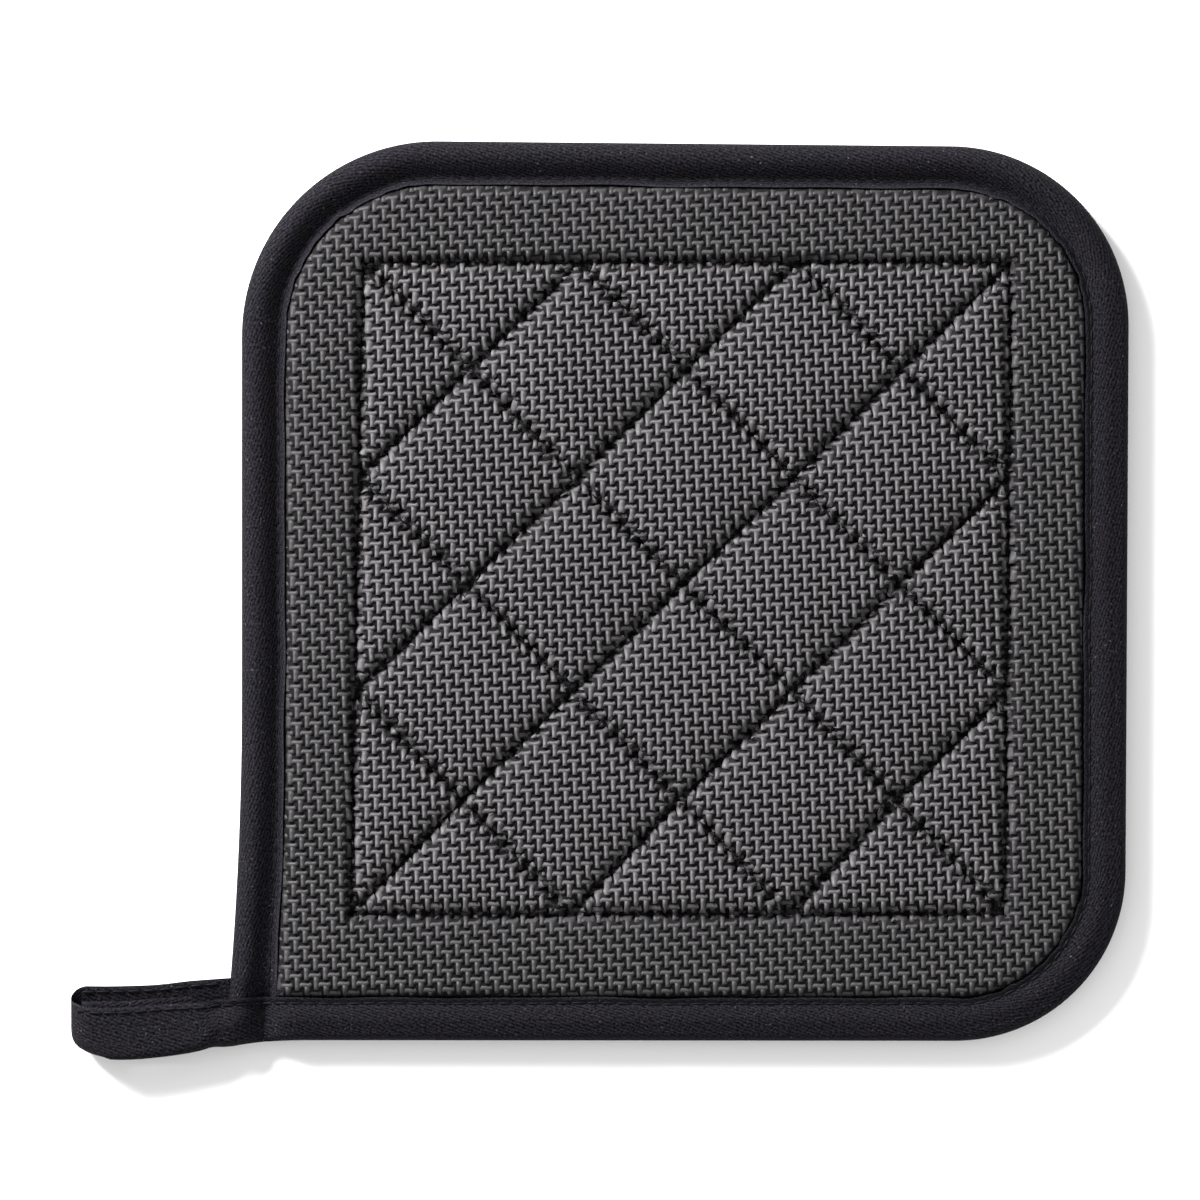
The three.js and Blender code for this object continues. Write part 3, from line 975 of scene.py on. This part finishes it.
def line_object(name, seams):
    """Rows of points as an object of loose edges."""
    edges, first = [], 0
    for seam in seams:
        edges += [(first + i, first + i + 1) for i in range(len(seam) - 1)]
        first += len(seam)
    return new_mesh(name, np.concatenate(seams), edges=edges)


def stitch_object(thread):
    """One stitch: a short bead of thread that dives in at both ends."""
    work = bmesh.new()
    bmesh.ops.create_uvsphere(work, u_segments=6, v_segments=6, radius=1)
    half = thread.width / 2
    for vertex in work.verts:
        x, y, z = vertex.co
        vertex.co = Vector((z * thread.pitch * STITCH_SHARE, x * half, y * half))
    return shape_object("stitch_shape", work)


def sew(name, seams, thread, material):
    """Stitches along the seams, as one mesh."""
    stitches = line_object(name, seams)
    shape = stitch_object(thread)
    run_tree(stitches, stitch_tree(), {"Stitch": shape, "Pitch": thread.pitch, "Material": material})
    bpy.data.objects.remove(shape)
    return stitches


# Tape

def path_lengths(points):
    """How far along a path each of its points lies."""
    return np.concatenate([[0], np.cumsum(np.linalg.norm(np.diff(points, axis=0), axis=1))])


def resample(points, count):
    """Points spread evenly along a smooth line through the given ones."""
    dense = smooth_path(points, 12)
    run = path_lengths(dense)
    even = np.linspace(0, run[-1], count)
    return np.stack([np.interp(even, run, column) for column in dense.T], axis=-1)


def smooth_path(keys, steps):
    """A curve through the keys, which may be points or whole sections, with steps between each two."""
    keys = np.array(keys, float)
    padded = np.concatenate([[2 * keys[0] - keys[1]], keys, [2 * keys[-1] - keys[-2]]])
    path = []
    for a, b, c, d in zip(padded, padded[1:], padded[2:], padded[3:]):
        for t in np.arange(steps) / steps:
            path.append(0.5 * (2 * b + (c - a) * t + (2 * a - 5 * b + 4 * c - d) * t ** 2
                               + (3 * b - a - 3 * c + d) * t ** 3))
    path.append(keys[-1])
    return np.array(path)


def edge_stations(step):
    """Points along the sewn edge with the outward angle and the corner's share, in millimetres."""
    places = []

    def straight(start, end, angle):
        count = max(int((end - start).length / step), 1)
        places.extend((start.lerp(end, i / count), angle, 0.0) for i in range(count))

    position = Vector((TAPE_START_X, corner_arc(0, 0).centre.y))
    for index in range(1, 4):
        arc = corner_arc(index, 0)
        straight(position, on_arc(arc, arc.start), arc.start)
        count = int(arc.radius * (arc.end - arc.start) / step)
        for i in range(count):
            part = i / count
            angle = arc.start + (arc.end - arc.start) * part
            places.append((on_arc(arc, angle), angle, math.sin(math.pi * part) ** 0.5))
        position = on_arc(arc, arc.end)
    last = corner_arc(4, 0)
    straight(position, Vector((last.centre.x, TAPE_END_Y)), last.start)
    return places


def wander(run, waves, seed):
    """A smooth uneven wave along a run in millimetres, about -1 to 1."""
    starts = np.random.default_rng(seed).uniform(0, 2 * np.pi, len(waves))
    return sum(np.sin(2 * np.pi * run / wave + start) for wave, start in zip(waves, starts)) / len(waves)


def binding_sections(count, step):
    """Sections of the tape round the sewn edge, with its pulls and puckers."""
    profile = resample(TAPE_ACROSS, count)
    places = edge_stations(step)
    run = np.arange(len(places)) * step
    sways = wander(run, SWAY.waves, SWAY.seed)
    ripples = wander(run, RIPPLE.waves, RIPPLE.seed)
    sections = []
    for index, (at, angle, corner) in enumerate(places):
        inset, z = profile.T.copy()
        sway, ripple = sways[index], ripples[index]
        front = clamp((z - FRONT.from_z) / FRONT.rise)
        inner = clamp(inset / TAPE_REACH) ** 2
        lip = front * clamp((inset - GROOVE_INSET) / LIP.width)
        z = z + lip * LIP.height * math.cos(2 * math.pi * run[index] / LIP.wave)
        inset = inset * (1 + SWAY.inset * sway + RIPPLE.inset * ripple * corner * inner)
        puckers = (RIPPLE.height + RIPPLE.corner * corner) * ripple * inner
        z = z + front * (SWAY.height * sway + puckers)
        if index > len(places) // 2 and at.x < CORNERS[0].x + 1:
            under = clamp((UNDER.from_y - at.y) / UNDER.run)
            pull = clamp((GROOVE_PULL.from_y - at.y) / GROOVE_PULL.run)
            z = z * (1 - UNDER.share * under * front)
            drawn = GROOVE_PULL.depth * bell(inset - GROOVE_PULL.inset, GROOVE_PULL.width)
            z = z - pull * front * drawn
        lower_right = min(max(math.cos(angle) - math.sin(angle), 0), 1)
        filled = np.interp(inset, *zip(*GROOVE_FILLED), left=0)
        slump = SLUMP.depth * bell(inset - SLUMP.inset, SLUMP.width)
        z = z + lower_right * np.where(front > 0, np.clip(filled - z, 0, None) - slump * front, 0)
        sections.append(settle(at.x - math.cos(angle) * inset, at.y - math.sin(angle) * inset, z))
    return sections


def folded_profile(row, count):
    """Section of the folded tape: points [y, height over its middle] from the narrow leg's edge."""
    half, fold = row.half, row.fold
    points = [
        (row.narrow, half),
        ((row.narrow + fold + half) / 2, half),
        (fold + half, half),
        *[(fold + half * (1 - math.cos(angle)), half * math.sin(angle)) for angle in FOLD_BEND],
        (fold + half, -half),
        ((row.wide + fold + half) / 2, -half),
        (row.wide, -half),
    ]
    return resample(points, count)


def loop_section(row, degrees, count):
    """A section of the loop at an angle round its turn: 90 degrees faces up and 270 faces down."""
    angle = math.radians(degrees)
    y, height = folded_profile(row, count).T
    edge = TURN_EDGES.wide - TURN_DRAWN.free
    low = clamp((edge - y) / (edge - TURN_EDGES.fold))
    back = row.drawn * low ** TURN_DRAWN.power
    lean = math.tan(LOWER_LEAN) * ease(degrees, *TURN_SHIFT)
    x = row.x + back + height * math.cos(angle)
    return np.stack([x, y, row.z + height * math.sin(angle) + lean * (y - row.fold)], axis=-1)


def ease(value, start, end):
    """A soft step from 0 to 1 between two values."""
    part = min(max((value - start) / (end - start), 0), 1)
    return part ** 2 * (3 - 2 * part)


def turn_section(degrees, count):
    """A section of the loop where it turns back on itself."""
    angle = math.radians(degrees)
    shift = TURN_EDGES.shift * ease(degrees, *TURN_SHIFT)
    step = TURN_EDGES.step * (1 - ease(degrees, *TURN_STEP))
    sideways = abs(math.cos(angle))
    row = Row(
        x=TURN.x + TURN.radius * math.cos(angle),
        z=TURN.z + TURN.radius * math.sin(angle),
        half=TURN.half,
        fold=TURN_EDGES.fold + shift + TURN_EDGES.lift * sideways,
        narrow=TURN_EDGES.wide - step + shift,
        wide=TURN_EDGES.wide + shift,
        drawn=TURN_DRAWN.start + (TURN_DRAWN.middle - TURN_DRAWN.start) * sideways,
    )
    return loop_section(row, degrees, count)


def loop_sections(first, count):
    """Sections from the loop's tucked end round to the first section of the taped edge."""
    keys = [loop_section(row, 270, count) for row in reversed(LOOP_LOWER)]
    steps = TURN.steps
    keys += [turn_section(90 + 180 * step / steps, count) for step in range(steps, -1, -1)]
    keys += [loop_section(row, 90, count) for row in reversed(LOOP_UPPER)]
    keys.append(first)
    return list(smooth_path(keys, 4))[:-1]


def inward_directions(sections):
    """For each point of each section, the way from the tape's outer face into its wall."""
    grid = np.array(sections)
    around = grid - grid.mean(axis=1, keepdims=True)
    facing = np.cross(around, np.roll(around, -1, axis=1)).sum(axis=1)
    facing /= np.linalg.norm(facing, axis=1, keepdims=True)
    inward = np.cross(facing[:, None], np.gradient(grid, axis=1))
    return inward / np.linalg.norm(inward, axis=2, keepdims=True)


def wall_depth(grid, inward, wall):
    """The wall's thickness at each point, less where the tape's own legs lie closer together."""
    apart = grid[:, None] - grid[:, :, None]
    toward = np.einsum("sjkc,sjc->sjk", apart, inward)
    room = (apart ** 2).sum(axis=-1) / (2 * np.maximum(toward, 1e-6))
    return np.minimum(wall, WALL_SHARE * room.min(axis=2))[:, :, None]


def tape_map(mesh, sections):
    """Lays the tape out flat in the map named tape: u along it and v across it, in metres."""
    grid = np.array(sections) * MM
    along = path_lengths(grid[:, grid.shape[1] // 3])
    across = path_lengths(grid[0])
    u, v = np.meshgrid(along, np.concatenate([across, across[::-1]]), indexing="ij")
    flat = np.stack([u.ravel(), v.ravel()], axis=-1)
    layer = mesh.uv_layers.new(name="tape")
    corner = np.zeros(len(mesh.loops), int)
    mesh.loops.foreach_get("vertex_index", corner)
    layer.data.foreach_set("uv", flat[corner].ravel())
    return along[-1], across[-1]


def tape_object(settings):
    """The whole tape: loop and bound edge in one length, with its thickness."""
    count = settings.across
    edge = binding_sections(count, settings.step / MM)
    outer = np.array(loop_sections(edge[0], count) + edge)
    inward = inward_directions(outer)
    inner = outer + inward * wall_depth(outer, inward, settings.wall / MM)
    rings = np.concatenate([outer, inner[:, ::-1]], axis=1)
    faces = grid_faces(0, len(rings), 2 * count, closed=True).tolist()
    for first in (0, 2 * count * (len(rings) - 1)):
        last = first + 2 * count - 1
        faces += [(first + i, first + i + 1, last - i - 1, last - i) for i in range(count - 1)]
    tape = new_mesh("edge_tape", rings.reshape(-1, 3), faces)
    length, width = tape_map(tape.data, outer)
    weld(tape)
    return tape, outer, (width, length)


def tape_seams(outer, count):
    """Where the tape is sewn: along its front groove, on over the loop, and back on its inner leg."""
    insets = resample(TAPE_ACROSS, count)[:count // 2, 0]
    groove = int(np.argmin(np.abs(insets - GROOVE_INSET)))
    lifted = outer - inward_directions(outer) * TAPE_STITCH_LIFT
    on_edge = clamp((outer[:, 0, 0] - LOOP_UPPER[0].x) / LOOP_SEAM_RUN)
    on_edge[len(outer) // 2 + 1:] = 1
    turned = int(np.argmin(outer[:, 0, 0]))
    front = blend_columns(lifted, LOOP_SEAM + (groove - LOOP_SEAM) * on_edge)[turned + SEAM_GAP:]
    back = blend_columns(lifted, np.full(len(outer), count - 1 - LOOP_SEAM))[2:turned - SEAM_GAP]
    return [front, back]


def blend_columns(grid, place):
    """The line through a grid of points at these fractional columns."""
    below = np.floor(place).astype(int)
    part = (place - below)[:, None]
    rows = np.arange(len(grid))
    return grid[rows, below] * (1 - part) + grid[rows, below + 1] * part


# One operator for each piece

class HOLDER_OT_stage(bpy.types.Operator):
    """Pale floor, soft studio light and a camera straight over the pad"""
    bl_idname = "holder.stage"
    bl_label = "Stage and camera"

    def execute(self, context):
        scene = context.scene
        stage = scene.holder_stage
        corners = [(x * FLOOR_REACH, y * FLOOR_REACH, 0) for x, y in ((-1, -1), (1, -1), (1, 1), (-1, 1))]
        floor = new_mesh("studio_floor", corners, [(0, 1, 2, 3)])
        floor.data.materials.append(floor_material(stage))
        camera = bpy.data.cameras.new("camera")
        camera.sensor_width = 36
        camera.lens = camera.sensor_width * stage.distance / stage.field
        camera.clip_end = 20
        eye = bpy.data.objects.new("camera", camera)
        eye.location = (0, 0, PAD_TOP * FOCUS_SHARE + stage.distance)
        scene.collection.objects.link(eye)
        scene.camera = eye
        for light in LIGHTS:
            lamp = bpy.data.lights.new(light.name, "AREA")
            lamp.energy = stage.key_energy * light.share
            lamp.size = light.size
            holder = bpy.data.objects.new(light.name, lamp)
            holder.location = light.place
            holder.rotation_euler = (-Vector(light.place)).to_track_quat("-Z", "Y").to_euler()
            scene.collection.objects.link(holder)
        scene.world = bpy.data.worlds.new("studio")
        scene.world.use_nodes = True
        background = scene.world.node_tree.nodes["Background"].inputs
        background["Color"].default_value = (1, 1, 1, 1)
        background["Strength"].default_value = stage.sky
        scene.view_settings.view_transform = "Standard"
        return {"FINISHED"}


class HOLDER_OT_pad(bpy.types.Operator):
    """The quilted foam pad with its plain back"""
    bl_idname = "holder.pad"
    bl_label = "Quilted foam"

    def execute(self, context):
        pad = context.scene.holder_pad
        piece = pad_object(*pad_faces(pad, context.scene.holder_thread), pad.cells)
        piece.data.materials.append(ground_material(pad))
        piece.data.materials.append(back_material(pad))
        normals = np.zeros(len(piece.data.polygons) * 3)
        piece.data.polygons.foreach_get("normal", normals)
        piece.data.polygons.foreach_set("material_index", (normals[2::3] < BACK_NORMAL).astype(int))
        finish_piece(piece)
        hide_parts("quilted_pad")
        return {"FINISHED"}


class HOLDER_OT_ribs(bpy.types.Operator):
    """The embossed ribs on the face"""
    bl_idname = "holder.ribs"
    bl_label = "Embossed ribs"

    def execute(self, context):
        pad, ribs = context.scene.holder_pad, context.scene.holder_ribs
        panel = panel_object(pad_faces(pad, context.scene.holder_thread)[0], pad.cells)
        shape = rib_object()
        piece = link_mesh("embossed_ribs", bpy.data.meshes.new("embossed_ribs"))
        run_tree(piece, rib_tree(), {
            "Rib": shape, "Panel": panel, "Pitch across": ribs.pitch_x, "Pitch up": ribs.pitch_y,
            "Tilt": ribs.tilt, "Origin": (RIB_ORIGIN[0] * MM, RIB_ORIGIN[1] * MM, 0),
            "Count": RIB_COUNT, "Material": rib_material(ribs),
        })
        bpy.data.objects.remove(panel)
        bpy.data.objects.remove(shape)
        if not piece.data.polygons:
            raise RuntimeError("no rib landed on the panel")
        finish_piece(piece)
        return {"FINISHED"}


class HOLDER_OT_quilting(bpy.types.Operator):
    """The stitches of the quilting, on the face and on the back"""
    bl_idname = "holder.quilting"
    bl_label = "Quilting stitches"

    def execute(self, context):
        thread = context.scene.holder_thread
        material = thread_material(thread)
        faces = pad_faces(context.scene.holder_pad, thread)
        for name, face in zip(("quilting_face", "quilting_back"), faces):
            finish_piece(sew(name, seam_lines(face, STITCH_LIFT), thread, material))
        return {"FINISHED"}


class HOLDER_OT_tape(bpy.types.Operator):
    """The taped edge and its hanging loop"""
    bl_idname = "holder.tape"
    bl_label = "Taped edge and loop"

    def execute(self, context):
        tape, thread = context.scene.holder_tape, context.scene.holder_thread
        piece, outer, flat = tape_object(tape)
        finish_piece(piece, tape_material(tape, flat[0]))
        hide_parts("edge_binding", "hanging_loop")
        seams = sew("edge_stitches", tape_seams(outer, tape.across), thread, thread_material(thread))
        finish_piece(seams)
        return {"FINISHED"}


OPERATORS = (HOLDER_OT_stage, HOLDER_OT_pad, HOLDER_OT_ribs, HOLDER_OT_quilting, HOLDER_OT_tape)
GROUPS = {
    "holder_pad": PadSettings,
    "holder_ribs": RibSettings,
    "holder_thread": ThreadSettings,
    "holder_tape": TapeSettings,
    "holder_stage": StageSettings,
}


class HOLDER_PT_panel(bpy.types.Panel):
    """Lists the pieces and their settings"""
    bl_label = "Pot holder"
    bl_idname = "HOLDER_PT_panel"
    bl_space_type = "VIEW_3D"
    bl_region_type = "UI"
    bl_category = "Pot holder"

    def draw(self, context):
        for operator in OPERATORS:
            self.layout.operator(operator.bl_idname)
        for name in GROUPS:
            group = getattr(context.scene, name)
            box = self.layout.box()
            for setting in group.bl_rna.properties.keys():
                if setting not in ("rna_type", "name"):
                    box.prop(group, setting)


def register():
    for name, group in GROUPS.items():
        bpy.utils.register_class(group)
        setattr(bpy.types.Scene, name, bpy.props.PointerProperty(type=group))
    for cls in (*OPERATORS, HOLDER_PT_panel):
        bpy.utils.register_class(cls)


def unregister():
    for cls in (HOLDER_PT_panel, *reversed(OPERATORS)):
        bpy.utils.unregister_class(cls)
    for name, group in GROUPS.items():
        delattr(bpy.types.Scene, name)
        bpy.utils.unregister_class(group)


def main():
    register()
    bpy.ops.holder.stage()
    bpy.ops.holder.pad()
    bpy.ops.holder.ribs()
    bpy.ops.holder.quilting()
    bpy.ops.holder.tape()


if __name__ == "__main__":
    main()
